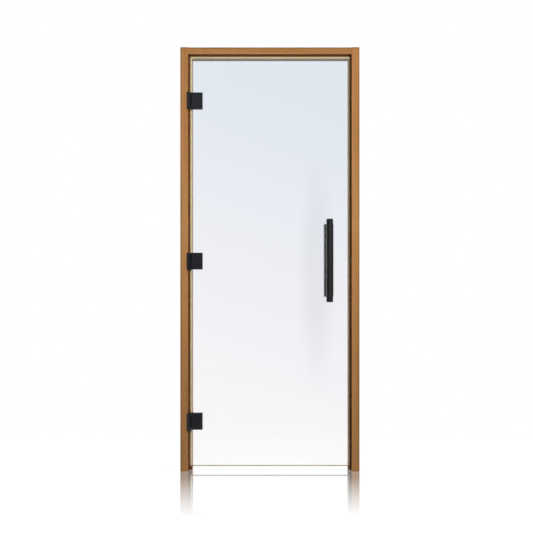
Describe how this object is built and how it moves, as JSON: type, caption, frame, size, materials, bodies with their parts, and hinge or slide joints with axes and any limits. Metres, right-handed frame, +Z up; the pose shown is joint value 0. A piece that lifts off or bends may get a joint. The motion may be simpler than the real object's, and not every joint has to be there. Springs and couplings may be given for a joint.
{
  "type": "framed glass sauna door",
  "caption": "Framed sauna door: a clear glass leaf on black knuckle hinges in a solid wood frame, with a bar handle, a seal and a roller catch.",
  "frame": {"origin": "bottom edge of the hinge jamb's wall face, in the middle of the frame's depth, at floor level", "axes": "+X from the hinge jamb to the latch jamb, -Y towards the outside, where the door opens, +Z up"},
  "size_m": [0.8, 0.121, 1.892],
  "materials": {
    "frame_wood": "sanded, oiled reddish-brown alder with fine straight grain",
    "seal_silicone": "matt cream silicone",
    "clear_glass": "clear toughened glass with polished edges",
    "black_metal": "satin black powder coat",
    "handle_metal": "satin black powder coat",
    "grip_black": "matt charcoal heat-resistant grip",
    "steel": "bare steel",
    "black_steel": "blackened steel",
    "gasket_fibre": "matt dark gasket",
    "roller_plastic": "light grey nylon",
    "catch_plastic": "matt black plastic"
  },
  "bodies": {
    "frame": {"hinge_jamb": "frame_wood", "latch_jamb": "frame_wood", "head": "frame_wood", "hinge_side_seal": "seal_silicone", "latch_side_seal": "seal_silicone", "head_seal": "seal_silicone", "upper_hinge_frame_leaf": "black_metal", "middle_hinge_frame_leaf": "black_metal", "lower_hinge_frame_leaf": "black_metal", "upper_hinge_pin": "black_steel", "middle_hinge_pin": "black_steel", "lower_hinge_pin": "black_steel", "catch_case": "catch_plastic", "catch_roller": "roller_plastic", "catch_pin": "steel"},
    "door": {"glass_pane": "clear_glass", "upper_hinge_front_plate": "black_metal", "middle_hinge_front_plate": "black_metal", "lower_hinge_front_plate": "black_metal", "upper_hinge_back_plate": "black_metal", "middle_hinge_back_plate": "black_metal", "lower_hinge_back_plate": "black_metal", "upper_hinge_gaskets": "gasket_fibre", "middle_hinge_gaskets": "gasket_fibre", "lower_hinge_gaskets": "gasket_fibre", "upper_hinge_clamp_bolts": "black_steel", "middle_hinge_clamp_bolts": "black_steel", "lower_hinge_clamp_bolts": "black_steel", "outer_handle_bar": "handle_metal", "inner_grip": "grip_black", "upper_outer_post": "handle_metal", "lower_outer_post": "handle_metal", "upper_inner_post": "handle_metal", "lower_inner_post": "handle_metal", "outer_rosettes": "handle_metal", "inner_rosettes": "handle_metal", "handle_washers": "gasket_fibre", "handle_studs": "steel"}
  },
  "joints": [
    {"name": "door_hinge", "type": "hinge", "parent": "frame", "child": "door", "pos_m": [0.0385, -0.0435, 0.938], "axis": [0, 0, -1], "range_deg": [0, 170]}
  ]
}
